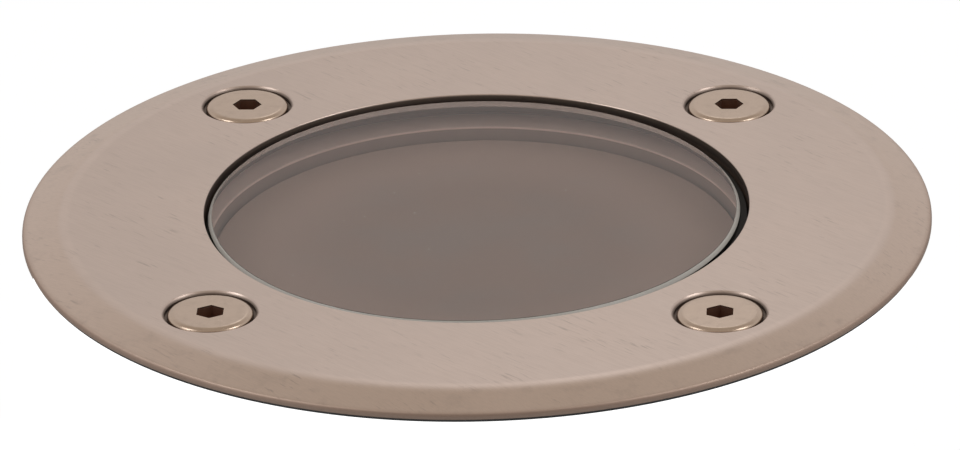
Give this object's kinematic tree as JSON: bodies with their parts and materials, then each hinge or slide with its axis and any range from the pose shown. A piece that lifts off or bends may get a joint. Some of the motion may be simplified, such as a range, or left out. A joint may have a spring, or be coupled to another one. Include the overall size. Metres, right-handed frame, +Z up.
{
  "type": "in ground well light",
  "caption": "Round in ground light: brushed ring with countersunk screws over a stepped glass lens, finned housing with LED module and gland, in a buried sleeve.",
  "frame": {"origin": "on the light's axis at ground level, the plane of the underside of the sleeve's flange", "axes": "+Z up out of the ground; -Y towards the viewer of the picture"},
  "size_m": [0.105, 0.105, 0.1323],
  "materials": {
    "ring_steel": "straight brushed, fine grain",
    "screw_steel": "bright, slightly polished",
    "spring_steel": "rolled",
    "zinc_screw": "bright zinc",
    "nylon_white": "satin moulded",
    "lens_glass": "clear, polished",
    "gasket_rubber": "matt",
    "spacer_aluminium": "turned, matt",
    "diffuser_opal": "frosted",
    "housing_coat": "fine texture powder coat",
    "brass": "turned",
    "reflector_white": "satin",
    "board_white": "solder mask",
    "led_yellow": "silicone dome",
    "pad_grey": "soft",
    "driver_white": "fine texture",
    "lead_red": "satin PVC",
    "lead_black": "satin PVC",
    "lead_brown": "satin PVC",
    "lead_blue": "satin PVC",
    "lead_green": "satin PVC",
    "gland_nylon": "satin moulded",
    "sleeve_plastic": "fine grain moulded"
  },
  "bodies": {
    "sleeve": {"sleeve": "sleeve_plastic", "drain_screen": "sleeve_plastic"},
    "housing": {"housing": "housing_coat", "threaded_inserts": "brass", "retaining_springs": "spring_steel", "spring_screws": "screw_steel", "housing_gasket": "gasket_rubber", "spacer_ring": "spacer_aluminium", "reflector": "reflector_white", "led_board": "board_white", "led_chips": "led_yellow", "thermal_pad": "pad_grey", "heat_spreader": "spacer_aluminium", "module_screws": "screw_steel", "driver_case": "driver_white", "driver_screws": "screw_steel", "terminal_block": "nylon_white", "terminal_screws": "zinc_screw", "led_lead_positive": "lead_red", "led_lead_negative": "lead_black", "live_lead": "lead_brown", "neutral_lead": "lead_blue", "earth_lead": "lead_green", "earth_tag": "zinc_screw", "earth_screw": "brass", "gland_body": "gland_nylon", "gland_washer": "gasket_rubber", "gland_locknut": "gland_nylon", "gland_seal": "gasket_rubber"},
    "face_ring": {"face_ring": "ring_steel", "screw_retainers": "nylon_white"},
    "lens": {"lens": "lens_glass", "lens_gasket": "gasket_rubber"},
    "diffuser": {"diffuser": "diffuser_opal"},
    "gland_nut": {"gland_nut": "gland_nylon"},
    "face_screw_1": {"face_screw_1": "screw_steel"},
    "face_screw_2": {"face_screw_2": "screw_steel"},
    "face_screw_3": {"face_screw_3": "screw_steel"},
    "face_screw_4": {"face_screw_4": "screw_steel"}
  },
  "joints": [
    {"name": "luminaire_lift", "type": "slide", "parent": "sleeve", "child": "housing", "axis": [0, 0, 1], "range_m": [0, 0.06]},
    {"name": "face_ring_lift", "type": "slide", "parent": "housing", "child": "face_ring", "axis": [0, 0, 1], "range_m": [0, 0.03]},
    {"name": "lens_lift", "type": "slide", "parent": "housing", "child": "lens", "axis": [0, 0, 1], "range_m": [0, 0.018]},
    {"name": "diffuser_lift", "type": "slide", "parent": "housing", "child": "diffuser", "axis": [0, 0, 1], "range_m": [0, 0.009]},
    {"name": "gland_nut_turn", "type": "hinge", "parent": "housing", "child": "gland_nut", "pos_m": [0.0147, -0.004, -0.1], "axis": [0, 0, 1], "range_deg": [0, 720]},
    {"name": "face_screw_1_turn", "type": "hinge", "parent": "face_ring", "child": "face_screw_1", "pos_m": [0.02864, 0.02864, 0], "axis": [0, 0, 1], "range_deg": [0, 2700]},
    {"name": "face_screw_2_turn", "type": "hinge", "parent": "face_ring", "child": "face_screw_2", "pos_m": [-0.02864, 0.02864, 0], "axis": [0, 0, 1], "range_deg": [0, 2700]},
    {"name": "face_screw_3_turn", "type": "hinge", "parent": "face_ring", "child": "face_screw_3", "pos_m": [-0.02864, -0.02864, 0], "axis": [0, 0, 1], "range_deg": [0, 2700]},
    {"name": "face_screw_4_turn", "type": "hinge", "parent": "face_ring", "child": "face_screw_4", "pos_m": [0.02864, -0.02864, 0], "axis": [0, 0, 1], "range_deg": [0, 2700]}
  ],
  "couplings": [
    {"joint": "lens_lift", "follows": "face_ring_lift", "ratio": 0.6},
    {"joint": "diffuser_lift", "follows": "face_ring_lift", "ratio": 0.3}
  ]
}
